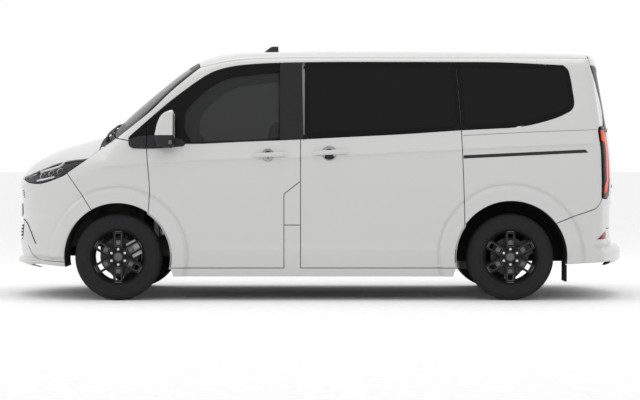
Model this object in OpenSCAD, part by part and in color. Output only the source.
// Minibus with two front doors, two sliding side doors, a lifting tailgate, a bonnet and a fuel flap.
// Millimetres. Origin: centre of the footprint on the ground. +X to the rear, +Y to the right, +Z up.

/* [Body] */
// Length over the bumpers
body_length = 5050; // [5000:10:5100]
// Widest width of the body, at the wheel-arch flares
body_width = 2032; // [2010:2:2050]
// Height of the roof at its centre
roof_z = 2000; // [1990:1:2010]
// Thickness of the body side walls
wall = 110; // [100:1:115]
// Thickness of an outer skin
skin = 25; // [20:1:28]
// Shut gap round a moving panel
gap = 7; // [6:0.5:8]

/* [Running gear] */
// Front axle from the origin
front_axle_x = -1583; // [-1586:1:-1580]
// Rear axle from the origin
rear_axle_x = 1517; // [1514:1:1520]
// Outer diameter of a tyre
tyre_d = 686; // [680:1:690]
// Width of a tyre
tyre_w = 215; // [205:1:220]
// Distance between the middles of the wheels on one axle
track = 1739; // [1730:1:1745]
// Sideways place of the steering axis
kingpin_y = 800; // [797:1:803]
// Radius of the spindles that the wheels turn on
spindle_r = 30; // [28:1:32]

/* [Doors and glass] */
// Side window sheet thickness
glass_t = 6; // [4:1:8]
// Steering wheel rim radius
steering_r = 185; // [180:1:190]

/* [Hidden] */
$fn = 96;

nose_x = -body_length / 2;
tail_x = body_length / 2;
half_w = body_width / 2;
axle_z = tyre_d / 2;
wheel_y = track / 2;
rim_r = 218;
run_clear = 0.06;
tow_x = 2030;
tow_dx = 120;
tow_dy = 1060;
tow_hole_r = 6.5;
rack_x = 700;
rack_dx = 1400;
rack_dy = 1300;
rack_hole_r = 4.5;
arch_front_r = 419;
arch_rear_r = 436;
liner_t = 5;
arch_edge = 10;
sill_z = 183;
door_bottom_z = 257;
floor_z = 470;
floor_t = 40;
load_board_t = 12;

// ---- outline helpers -------------------------------------------------------------------------

function unit(v) = v / norm(v);

// A closed anticlockwise outline moved inwards by d, or outwards where d is negative.
function inward(points, d) = [
    for (i = [0 : len(points) - 1])
        let (a = points[(i + len(points) - 1) % len(points)],
             b = points[i],
             c = points[(i + 1) % len(points)],
             u = unit(b - a),
             v = unit(c - b),
             n = unit([-(u.y + v.y), u.x + v.x]))
        b + n * d / max(0.4, n * [-u.y, u.x])
];

// Points along an arc from one angle to another, both in degrees.
function arc(centre, r, from, to, steps) = [
    for (i = [0 : steps])
        let (a = from + (to - from) * i / steps)
        centre + r * [cos(a), sin(a)]
];

// Both halves of an outline that is the same on the right and the left.
function mirrored(half) = concat(half, [for (i = [len(half) - 1 : -1 : 0]) [-half[i].x, half[i].y]]);

// ---- the body's outer form: side profile, cross-section, plan, and the crowns of bonnet and screen ----

side_profile = [
    [nose_x, sill_z], [tail_x, sill_z], [tail_x, 500], [2430, 560], [2416, 900],
    [2404, 1150], [2382, 1330], [2345, 1540], [2302, 1780], [2293, 1930], [2150, 1973], [1500, 1993],
    [500, roof_z], [-300, roof_z - 4], [-600, 1989], [-806, 1974],
    [-940, 1934], [-1142, 1816], [-1343, 1660], [-1545, 1492], [-1696, 1350],
    [-1814, 1300], [-1948, 1268], [-2082, 1227], [-2216, 1174], [-2351, 1100], [-2440, 1036],
    [-2496, 975], [-2512, 900], [-2503, 725], [-2520, 524], [-2512, 400], [nose_x, 300]
];

section_half = [
    [962, sill_z], [1004, 420], [half_w - 3, 700], [half_w - 3, 950], [1004, 1110], [985, 1240],
    [938, 1500], [900, 1700], [858, 1880], [826, 1940], [730, 1980], [480, 1997], [200, roof_z + 3]
];

plan_half = [
    [nose_x, 160], [-2500, 360], [-2440, 560], [-2340, 725], [-2200, 850], [-2050, 930], [-1850, 985],
    [-1583, half_w]
];

// Plan of the tail above the bumper's step, and of the bumper's lower part, which stands out further.
tail_plan_half = [
    [2150, half_w], [2225, 985], [2292, 925], [2350, 800], [2400, 600], [2440, 350], [2460, 160]
];

bumper_plan_half = [
    [2150, half_w], [2270, 1000], [2360, 930], [2415, 820], [2460, 620], [2500, 350], [tail_x, 160]
];

// Half of the crown across the bonnet: sideways distance and drop.
bonnet_crown_half = [
    [1060, -900], [945, -330], [915, -190], [880, -128], [800, -80], [650, -42], [400, -14], [150, 0]
];

screen_crown_half = [
    [1060, -900], [900, -200], [820, -110], [740, -66], [600, -38], [400, -16], [150, 0]
];

bonnet_slope = 23.5;
bonnet_point = [-2085, 1236];
screen_slope = 38.3;
screen_point = [-1343, 1662];

function plan_outline(rear_half) = concat(
    [for (p = plan_half) [p.x, -p.y]],
    [for (p = rear_half) [p.x, -p.y]],
    [for (i = [len(rear_half) - 1 : -1 : 0]) rear_half[i]],
    [for (i = [len(plan_half) - 1 : -1 : 0]) plan_half[i]]
);

// A side outline (X, Z) as a slab between two sideways places.
module side_slab(points, y0, y1) {
    translate([0, y1, 0])
        rotate([90, 0, 0])
            linear_extrude(height = y1 - y0)
                polygon(points);
}

// A cross-section outline (Y, Z) as a slab between two places along the vehicle.
module cross_slab(points, x0, x1) {
    translate([x0, 0, 0])
        rotate([90, 0, 90])
            linear_extrude(height = x1 - x0)
                polygon(points);
}

module plan_slab(points, z0, z1) {
    translate([0, 0, z0])
        linear_extrude(height = z1 - z0)
            polygon(points);
}

// The block under a crown that follows a slope through a point of the profile.
module under_crown(half, point, slope, d) {
    translate([point.x, 0, point.y])
        rotate([0, -slope, 0])
            translate([-1600, 0, 0])
                rotate([90, 0, 90])
                    linear_extrude(height = 3600)
                        polygon(inward(mirrored(half), d));
}

// The whole closed form, set in by d, between two places along the vehicle.
module form(d, x0, x1, rear_half = tail_plan_half) {
    intersection() {
        side_slab(inward(side_profile, d), -1100, 1100);
        cross_slab(inward(mirrored(section_half), d), x0, x1);
        plan_slab(inward(plan_outline(rear_half), d), 100, 2100);
    }
}

module nose_form(d) {
    intersection() {
        form(d, -2600, -1300);
        under_crown(bonnet_crown_half, bonnet_point, bonnet_slope, d);
    }
}

module tail_shell(t) {
    difference() {
        form(0, 1800, 2600);
        form(t, 1799, 2600);
    }
}

// A stretch of side wall between two depths under the outer surface.
module side_wall(d0, d1, x0, x1) {
    difference() {
        cross_slab(inward(mirrored(section_half), d0), x0, x1);
        cross_slab(inward(mirrored(section_half), d1), x0 - 1, x1 + 1);
    }
}

module one_side(side) {
    if (side < 0)
        children();
    else
        mirror([0, 1, 0])
            children();
}

// ---- outlines of the panels on the side, seen from the side --------------------------------------

front_arch_centre = [front_axle_x, axle_z];
rear_arch_centre = [rear_axle_x, axle_z];

// Upper line of the side glass, which the doors' frames and the windscreen pillar follow.
pillar_line = [
    [-316, 1892], [-560, 1884], [-715, 1865], [-800, 1843], [-880, 1806], [-958, 1758], [-1105, 1642],
    [-1228, 1540]
];

front_door_outline = concat(
    [[-276, door_bottom_z], [-276, 843], [-143, 942], [-143, 1225], [-164, 1265], [-164, 1893]],
    pillar_line,
    [[-1354, 1422], [-1354, 1194], [-1345, 1068], [-1329, 871]],
    arc(front_arch_centre, arch_front_r + 16, 50.5, -11.4, 6)
);

sliding_door_outline = concat(
    [[-141, door_bottom_z]],
    arc(rear_arch_centre, arch_rear_r + 16, 191, 146, 4),
    [[1148, 793], [1137, 1107], [1124, 1360], [1105, 1678], [1082, 1893], [-141, 1893]]
);

front_window_outline = [
    [-1335, 1236], [-973, 1243], [-618, 1256], [-318, 1270], [-312, 1872], [-556, 1864], [-715, 1845],
    [-795, 1823], [-874, 1786], [-954, 1737], [-1109, 1617], [-1228, 1515], [-1335, 1418]
];

sliding_window_outline = [
    [-108, 1283], [248, 1298], [643, 1318], [1098, 1346], [1078, 1690], [1058, 1872], [-108, 1872]
];

quarter_window_outline = [
    [1168, 1352], [1511, 1368], [1690, 1392], [1828, 1428], [1908, 1456], [1972, 1492], [2002, 1530],
    [2006, 1600], [1990, 1758], [1968, 1830], [1930, 1858], [1760, 1871], [1130, 1874], [1150, 1680]
];

// The painted side from the windscreen pillar over the doors to the tail, without its openings.
body_side_outline = [
    [-1300, sill_z + 100], [-1160, sill_z], [1096, sill_z], [1100, 300], [1500, 500], [1866, 618],
    [2018, 673],
    [2130, 712], [2190, 735], [2212, 800], [2212, 1374], [2240, 1374], [2264, 1880], [2150, 1950],
    [2144, 2010], [-820, 2010], [-941, 1868], [-1019, 1806], [-1176, 1672], [-1331, 1517], [-1540, 1335],
    [-1560, 1274], [-1345, 1240], [-1338, 1068], [-1320, 871], [-1300, 650]
];

fuel_flap_outline = [[-276, 596], [-143, 596], [-143, 942], [-276, 843]];

// Front wing between the bumper, the headlamp, the bonnet and the front door.
fender_outline = concat(
    arc(front_arch_centre, arch_front_r + arch_edge, 54, 117.5, 6),
    [[-1875, 848], [-1990, 992], [-1954, 1029], [-1876, 1084], [-1822, 1130], [-1760, 1178], [-1674, 1241],
     [-1619, 1282], [-1570, 1262], [-1354, 1226], [-1354, 1194], [-1345, 1068], [-1329, 871]]
);

bonnet_side_outline = [
    [-1745, 1500], [-2560, 1400], [-2560, 1015], [-2440, 1000], [-2269, 1019], [-2183, 1050],
    [-2096, 1082], [-1986, 1110], [-1824, 1136], [-1760, 1186], [-1745, 1198]
];

lamp_outline = [
    [-2440, 985], [-2410, 940], [-2350, 926], [-2276, 922], [-2182, 934], [-2096, 958], [-2017, 986],
    [-1954, 1029],
    [-1876, 1084], [-1832, 1122], [-1986, 1102], [-2096, 1074], [-2183, 1042], [-2269, 1011]
];

bumper_outline = concat(
    [[-2600, 985], [-2600, 255], [-1978, 255]],
    arc(front_arch_centre, arch_front_r + arch_edge, 192, 119, 6),
    [[-1875, 848], [-1990, 992], [-2017, 980], [-2096, 952], [-2182, 928], [-2276, 916], [-2360, 920],
    [-2420, 940],
     [-2446, 985]]
);

tail_lamp_outline = [
    [2222, 812], [2345, 812], [2380, 1000], [2370, 1250], [2330, 1368], [2222, 1368]
];

rear_bumper_outline = concat(
    arc(rear_arch_centre, arch_rear_r + arch_edge, -7, 37, 5),
    [[2018, 667], [2130, 706], [2190, 729], [2216, 806], [2330, 806], [2330, 552], [2560, 552], [2560, 285]]
);

// ---- body shell ------------------------------------------------------------------------------

// The round spaces that the wheels take out of the floor and the bulkhead.
module arch_voids() {
    for (side = [-1, 1]) {
        translate([rear_axle_x, side * 905, axle_z])
            rotate([90, 0, 0])
                cylinder(h = 374, r = arch_rear_r + arch_edge, center = true);
        translate([front_axle_x, side * 905, axle_z])
            rotate([90, 0, 0])
                cylinder(h = 660, r = arch_front_r + arch_edge, center = true);
    }
}

module floor_pan() color("dimgray") {
    difference() {
        union() {
            translate([-1290, -893, floor_z - floor_t])
                cube([2290 + 1180, 1786, floor_t]);
            for (y = [-560, 500])
                translate([-1280, y, 330])
                    cube([3430, 60, floor_z - floor_t - 330 + 1]);
            for (x = [-700, 300])
                translate([x, -890, 360])
                    cube([80, 1780, floor_z - floor_t - 360 + 1]);
            // Raised board of the luggage floor.
            translate([1660, -690, floor_z - 1])
                cube([470, 1380, load_board_t + 1]);
        }
        arch_voids();
        // Four bolt holes for a towing bar.
        for (x = [-1, 1])
            for (y = [-1, 1])
                translate([tow_x + x * tow_dx / 2, y * tow_dy / 2, 300])
                    cylinder(h = 200, r = tow_hole_r);
    }
}

module door_opening(outline, inset) {
    intersection() {
        side_slab(inward(outline, -gap / 2), -1100, -600);
        side_wall(-60, skin + 6, -1500, 1300);
    }
    side_slab(inward(outline, inset), -1100, -600);
}

// The pillar and lamp box between the quarter panel and the tailgate.
module rear_pillar() {
    difference() {
        intersection() {
            form(1, 2100, 2300);
            side_slab([[2120, 812], [2208, 812], [2208, 1378], [2238, 1378], [2262, 1878], [2150, 1946],
                       [2120, 1946]], -1100, -752);
        }
        cross_slab(inward(tailgate_outline, -gap), 2000, 2700);
    }
}

module body_side(side) {
    difference() {
        intersection() {
            side_wall(0, wall, -1700, 2300);
            side_slab(body_side_outline, -1100, -752);
            plan_slab(plan_outline(tail_plan_half), 100, 2100);
        }
        door_opening(front_door_outline, 44);
        door_opening(sliding_door_outline, 44);
        side_slab(quarter_window_outline, -1100, -700);
        if (side < 0)
            intersection() {
                side_slab(inward(fuel_flap_outline, -gap / 2), -1100, -600);
                side_wall(-60, skin + 6, -400, 0);
            }
        translate([rear_axle_x, -900, axle_z])
            rotate([90, 0, 0])
                cylinder(h = 420, r = arch_rear_r + arch_edge, center = true);
        translate([front_axle_x, -900, axle_z])
            rotate([90, 0, 0])
                cylinder(h = 420, r = arch_front_r + arch_edge, center = true);
    }
    rear_pillar();
}

module body_sides() color("gainsboro") {
    for (side = [-1, 1])
        one_side(side)
            body_side(side);
}

module roof_panel() color("gainsboro") {
    difference() {
        intersection() {
            difference() {
                form(0, -1100, 2143);
                form(45, -1101, 2160);
            }
            translate([-945, -750, 1860])
                cube([2143 + 945, 1500, 200]);
        }
        // Four threaded holes for roof bars.
        for (x = [-1, 1])
            for (y = [-1, 1])
                translate([rack_x + x * rack_dx / 2, y * rack_dy / 2, 1900])
                    cylinder(h = 200, r = rack_hole_r);
    }
}

module front_fender() {
    intersection() {
        difference() {
            nose_form(0);
            nose_form(skin);
        }
        side_slab(fender_outline, -1100, -780);
    }
}

module front_fenders() color("gainsboro") {
    for (side = [-1, 1])
        one_side(side)
            front_fender();
}

grille_y = 520;
grille_z0 = 400;
grille_z1 = 880;

module front_bumper() color("whitesmoke") {
    difference() {
        intersection() {
            difference() {
                nose_form(0);
                nose_form(60);
            }
            side_slab(bumper_outline, -1100, 1100);
        }
        translate([-2600, -grille_y, grille_z0])
            cube([400, 2 * grille_y, grille_z1 - grille_z0]);
    }
}

module grille() color("black") {
    intersection() {
        difference() {
            nose_form(12);
            nose_form(45);
        }
        translate([-2600, -grille_y, grille_z0])
            cube([400, 2 * grille_y, grille_z1 - grille_z0]);
    }
}

module headlamps() color("lightgray") {
    for (side = [-1, 1])
        one_side(side)
            intersection() {
                difference() {
                    nose_form(3);
                    nose_form(90);
                }
                side_slab(inward(lamp_outline, 4), -1100, -560);
            }
}

module bonnet() color("gainsboro") {
    intersection() {
        difference() {
            nose_form(0);
            nose_form(40);
        }
        side_slab(bonnet_side_outline, -1100, 1100);
    }
}

module screen_form(d) {
    intersection() {
        form(d, -1750, -800);
        under_crown(screen_crown_half, screen_point, screen_slope, d);
    }
}

module windscreen() color("darkslategray") {
    intersection() {
        difference() {
            screen_form(4);
            screen_form(4 + glass_t);
        }
        cross_slab(inward(mirrored(section_half), wall + 3), -1686, -950);
        side_slab([[-1740, 1100], [-920, 1620], [-920, 2100], [-1740, 1500]], -1000, 1000);
    }
}

module cowl_panel() color("black") {
    intersection() {
        form(12, -1738, -1400);
        under_crown(bonnet_crown_half, bonnet_point, bonnet_slope, 12);
        under_crown(screen_crown_half, screen_point, screen_slope, 12);
        side_slab([[-1738, 1160], [-1480, 1160], [-1692, 1350], [-1738, 1400]], -850, 850);
    }
}

module bulkhead() color("gray") {
    difference() {
        union() {
            translate([-1330, -870, 475])
                cube([36, 1740, 700]);
            translate([-1460, -740, 1080])
                cube([166, 1480, 90]);
        }
        arch_voids();
    }
}

module dashboard() color("darkslategray") {
    difference() {
        union() {
            translate([-1290, -850, 820])
                cube([250, 1700, 330]);
            translate([-1040, -180, 640])
                cube([120, 360, 420]);
        }
        translate([-1160, 210, 860])
            cube([130, 560, 70]);
    }
}

module engine_block() color("silver") {
    translate([-2060, -330, 400])
        cube([560, 700, 560]);
}

bumper_step_z = 520;

module rear_bumper() color("gainsboro") {
    difference() {
        intersection() {
            tail_shell(70);
            side_slab(rear_bumper_outline, -1100, 1100);
            translate([1800, -1100, bumper_step_z])
                cube([900, 2200, 400]);
        }
        cross_slab(inward(tailgate_outline, -gap), 2000, 2700);
    }
    intersection() {
        difference() {
            form(0, 1800, 2600, bumper_plan_half);
            form(90, 1799, 2600, bumper_plan_half);
        }
        side_slab(rear_bumper_outline, -1100, 1100);
        translate([1800, -1100, 0])
            cube([900, 2200, bumper_step_z]);
    }
}

module tail_lamps() color("firebrick") {
    for (side = [-1, 1])
        one_side(side)
            intersection() {
                tail_shell(75);
                side_slab(tail_lamp_outline, -1100, -822);
            }
}

// ---- side doors and glass ----------------------------------------------------------------------

module door_shell(outline, window, inner_inset) {
    difference() {
        union() {
            intersection() {
                side_slab(inward(outline, gap / 2), -1100, -600);
                side_wall(0, skin, -1500, 1300);
            }
            intersection() {
                side_slab(inward(outline, inner_inset), -1100, -600);
                side_wall(skin, wall - 14, -1500, 1300);
            }
        }
        side_slab(window, -1100, -600);
    }
}

module front_door(side) {
    one_side(side)
        door_shell(front_door_outline, front_window_outline, 52);
}

module side_glass(outline) {
    intersection() {
        side_slab(outline, -1100, -600);
        side_wall(14, 14 + glass_t, -1500, 2200);
    }
}

module front_door_left() color("gainsboro") front_door(-1);

module front_door_right() color("gainsboro") front_door(1);

module front_door_window_left() color("dimgray") one_side(-1) side_glass(front_window_outline);

module front_door_window_right() color("dimgray") one_side(1) side_glass(front_window_outline);

module sliding_doors() color("gainsboro") {
    for (side = [-1, 1])
        one_side(side)
            door_shell(sliding_door_outline, sliding_window_outline, 52);
}

module side_windows() color("black") {
    for (side = [-1, 1])
        one_side(side) {
            side_glass(sliding_window_outline);
            side_glass(quarter_window_outline);
        }
}

module door_mirror(side) {
    one_side(side) {
        hull() {
            translate([-1240, -1112, 1235])
                sphere(r = 24, $fn = 32);
            translate([-1150, -1112, 1235])
                sphere(r = 24, $fn = 32);
            translate([-1225, -1112, 1470])
                sphere(r = 22, $fn = 32);
            translate([-1152, -1112, 1476])
                sphere(r = 22, $fn = 32);
            translate([-1215, -1040, 1240])
                sphere(r = 20, $fn = 32);
            translate([-1150, -1040, 1420])
                sphere(r = 20, $fn = 32);
        }
        difference() {
            translate([-1290, -1060, 1206])
                cube([130, 78, 26]);
            cross_slab(mirrored(section_half), -1300, -1100);
        }
    }
}

module door_mirror_left() color("whitesmoke") door_mirror(-1);

module door_mirror_right() color("whitesmoke") door_mirror(1);

module fuel_flap() color("gainsboro") {
    intersection() {
        side_slab(inward(fuel_flap_outline, gap / 2), -1100, -600);
        side_wall(0, 12, -400, 0);
    }
}

// ---- tailgate ----------------------------------------------------------------------------------

tailgate_outline = mirrored([
    [812, 562], [812, 1378], [804, 1500], [772, 1700], [742, 1870], [742, 2020]
]);

rear_window_outline = mirrored([[700, 1300], [690, 1500], [655, 1800], [630, 1835]]);

module tailgate() color("gainsboro") {
    difference() {
        intersection() {
            tail_shell(70);
            cross_slab(tailgate_outline, 2150, 2600);
        }
        translate([2000, -1100, 1700])
            cube([210, 2200, 190]);
        cross_slab(rear_window_outline, 2100, 2600);
    }
}

module rear_window() color("black") {
    intersection() {
        difference() {
            form(10, 1800, 2600);
            form(10 + glass_t, 1799, 2601);
        }
        cross_slab(rear_window_outline, 2220, 2600);
    }
}

// ---- cabin -------------------------------------------------------------------------------------

module seat(width) {
    translate([-250, -width / 2, 330])
        cube([480, width, 110]);
    translate([230, -width / 2, 370])
        rotate([0, 14, 0])
            translate([-100, 0, 0])
                cube([110, width, 620]);
    translate([-160, -width / 2 + 40, 0])
        cube([320, width - 80, 331]);
}

module headrest() {
    translate([293, -120, 985])
        rotate([0, 14, 0])
            cube([70, 240, 180]);
    for (y = [-60, 60])
        translate([330, y, 920])
            rotate([0, 14, 0])
                cylinder(h = 90, r = 7);
}

module front_seats() color("dimgray") {
    for (y = [-420, 420])
        translate([-640, y, floor_z])  {
            seat(500);
            headrest();
        }
}

module rear_seats() color("dimgray") {
    for (x = [350, 1230])
        translate([x, 0, floor_z]) {
            seat(1290);
            for (y = [-430, 0, 430])
                translate([0, y, 0])
                    headrest();
        }
}

column_tilt = 62;
steering_centre = [-880, -420, 1150];

module steering_wheel() color("black") {
    translate(steering_centre)
        rotate([0, column_tilt, 0]) {
            rotate_extrude()
                translate([steering_r - 15, 0])
                    circle(r = 15, $fn = 32);
            translate([0, 0, -45])
                cylinder(h = 50, r = 62);
            for (a = [0, 180, 270])
                rotate([0, 0, a + 90])
                    translate([40, -18, -14])
                        cube([steering_r - 60, 36, 18]);
            translate([0, 0, -160])
                cylinder(h = 120, r = 22);
        }
}

// ---- running gear -------------------------------------------------------------------------------

module wheel_liners() color("black") {
    for (side = [-1, 1])
        one_side(side) {
            difference() {
                translate([front_axle_x, -800, axle_z])
                    rotate([90, 0, 0])
                        cylinder(h = 348, r = arch_front_r + liner_t - 1, center = true);
                translate([front_axle_x, -800, axle_z])
                    rotate([90, 0, 0])
                        cylinder(h = 360, r = arch_front_r, center = true);
                translate([front_axle_x - 600, -1100, -200])
                    cube([1200, 600, 200 + 265]);
            }
            difference() {
                translate([rear_axle_x, -848, axle_z])
                    rotate([90, 0, 0])
                        cylinder(h = 255, r = arch_rear_r + liner_t, center = true);
                translate([rear_axle_x, -852, axle_z])
                    rotate([90, 0, 0])
                        cylinder(h = 250, r = arch_rear_r, center = true);
                translate([rear_axle_x - 600, -1100, -200])
                    cube([1200, 600, 200 + 300]);
                // Opening for the axle end and brake.
                translate([rear_axle_x - 95, -740, 200])
                    cube([190, 30, 240]);
            }
            translate([1944, -985, 150])
                cube([14, 225, 130]);
            translate([1944, -900, 279])
                cube([14, 140, 140]);
        }
}

arm_z = 150;

module front_subframe() color("dimgray") {
    translate([front_axle_x - 60, -520, 170])
        cube([240, 1040, 60]);
    for (side = [-1, 1])
        one_side(side) {
            for (top = [0, 1])
                translate([front_axle_x, 0, axle_z + (top ? arm_z : -arm_z)]) {
                    translate([-35, -kingpin_y + 20, -14])
                        cube([70, 290, 28]);
                    translate([0, -kingpin_y, top ? -46 : -14])
                        cylinder(h = 60, r = 14);
                    translate([0, -kingpin_y, -14])
                        cylinder(h = 28, r = 35);
                }
            translate([front_axle_x - 45, -545, 180])
                cube([90, 50, 500]);
        }
}

module caliper() {
    rotate([0, -28, 0])
        difference() {
            translate([96, -34, -62])
                cube([84, 68, 124]);
            translate([80, -20, -80])
                cube([88, 40, 160]);
        }
}

disc_y = 48;

module knuckle(side) {
    one_side(side)
        translate([front_axle_x, -kingpin_y, axle_z]) {
            difference() {
                translate([-32, -28, -arm_z + 20])
                    cube([64, 56, 2 * arm_z - 40]);
                for (top = [0, 1])
                    translate([0, 0, top ? arm_z - 52 : -arm_z])
                        cylinder(h = 52, r = 14 + run_clear);
            }
            rotate([90, 0, 0])
                cylinder(h = 118, r = spindle_r);
            rotate([0, -28, 0])
                translate([20, -42, -22])
                    cube([90, 68, 44]);
            translate([0, -disc_y - 14, 0])
                caliper();
        }
}

module knuckle_left() color("silver") knuckle(-1);

module knuckle_right() color("silver") knuckle(1);

module rear_axle() color("dimgray") {
    translate([1130, -650, 235])
        cube([110, 1300, 90]);
    for (side = [-1, 1])
        one_side(side) {
            translate([1130, -700, 235])
                cube([440, 60, 90]);
            translate([rear_axle_x - 70, -828, axle_z - 60])
                cube([140, 150, 120]);
            translate([rear_axle_x, -kingpin_y, axle_z])
                rotate([90, 0, 0])
                    cylinder(h = 118, r = spindle_r);
            translate([rear_axle_x, -kingpin_y, axle_z]) {
                rotate([0, -28, 0])
                    translate([40, -42, -22])
                        cube([70, 68, 44]);
                translate([0, -disc_y - 14, 0])
                    caliper();
            }
            translate([rear_axle_x - 150, -640, 320])
                cylinder(h = floor_z - floor_t - 320, r = 55);
        }
}

module tyre(x, side) {
    half = tyre_w / 2;
    one_side(side)
        translate([x, -wheel_y, axle_z])
            rotate([90, 0, 0])
                rotate_extrude()
                    polygon([
                        [rim_r, -half + 14], [rim_r + 40, -half], [tyre_d / 2 - 40, -half],
                        [tyre_d / 2 - 12, -half + 14],
                        [tyre_d / 2, -half + 34], [tyre_d / 2, half - 34], [tyre_d / 2 - 12, half - 14],
                        [tyre_d / 2 - 40, half], [rim_r + 40, half], [rim_r, half - 14]
                    ]);
}

module wheel(x, side) {
    half = tyre_w / 2 - 8;
    one_side(side)
        translate([x, -wheel_y, axle_z])
            rotate([90, 0, 0]) {
                difference() {
                    translate([0, 0, -half])
                        cylinder(h = 2 * half, r = rim_r);
                    translate([0, 0, -half - 1])
                        cylinder(h = 2 * half + 2, r = rim_r - 20);
                }
                // Brake disc, hub and spindle bore.
                difference() {
                    union() {
                        translate([0, 0, disc_y + kingpin_y - wheel_y])
                            cylinder(h = 28, r = 150);
                        translate([0, 0, disc_y + kingpin_y - wheel_y])
                            cylinder(h = half - 12 - (disc_y + kingpin_y - wheel_y), r = 84);
                    }
                    translate([0, 0, disc_y + kingpin_y - wheel_y - 1])
                        cylinder(h = 118 - disc_y + 3, r = spindle_r + run_clear);
                }
                // Six box spokes, each two bars with a closed outer end.
                for (i = [0 : 5])
                    rotate([0, 0, 90 + i * 60]) {
                        for (s = [-1, 1])
                            translate([60, s * 30 - 9, half - 48])
                                cube([rim_r - 10 - 60, 18, 32]);
                        translate([rim_r - 44, -30, half - 47])
                            cube([18, 60, 30]);
                    }
            }
}

module tyre_front_left() color("black") tyre(front_axle_x, -1);

module tyre_front_right() color("black") tyre(front_axle_x, 1);

module tyre_rear_left() color("black") tyre(rear_axle_x, -1);

module tyre_rear_right() color("black") tyre(rear_axle_x, 1);

module wheel_front_left() color("black") wheel(front_axle_x, -1);

module wheel_front_right() color("black") wheel(front_axle_x, 1);

module wheel_rear_left() color("black") wheel(rear_axle_x, -1);

module wheel_rear_right() color("black") wheel(rear_axle_x, 1);

module fuel_tank() color("dimgray") {
    translate([-560, -480, 250])
        cube([820, 480, 150]);
}

module exhaust() color("silver") {
    translate([400, 380, 290])
        rotate([0, 90, 0])
            cylinder(h = 600, r = 80);
    translate([-1200, 380, 290])
        rotate([0, 90, 0])
            cylinder(h = 1601, r = 30);
}

module roof_antenna() color("black") {
    difference() {
        translate([-560, 0, roof_z - 20])
            rotate([90, 0, 0])
                linear_extrude(height = 40, center = true)
                    polygon([[0, 0], [205, 0], [205, 64], [170, 84], [120, 49], [40, 23]]);
        form(0, -620, -300);
    }
}

floor_pan();
body_sides();
roof_panel();
front_fenders();
front_bumper();
grille();
headlamps();
windscreen();
cowl_panel();
dashboard();
bulkhead();
engine_block();
front_subframe();
rear_axle();
rear_bumper();
tail_lamps();
side_windows();
sliding_doors();
front_seats();
rear_seats();
roof_antenna();
wheel_liners();
fuel_tank();
exhaust();
front_door_left();
front_door_window_left();
door_mirror_left();
front_door_right();
front_door_window_right();
door_mirror_right();
bonnet();
tailgate();
rear_window();
fuel_flap();
knuckle_left();
knuckle_right();
steering_wheel();
tyre_front_left();
wheel_front_left();
tyre_front_right();
wheel_front_right();
tyre_rear_left();
wheel_rear_left();
tyre_rear_right();
wheel_rear_right();
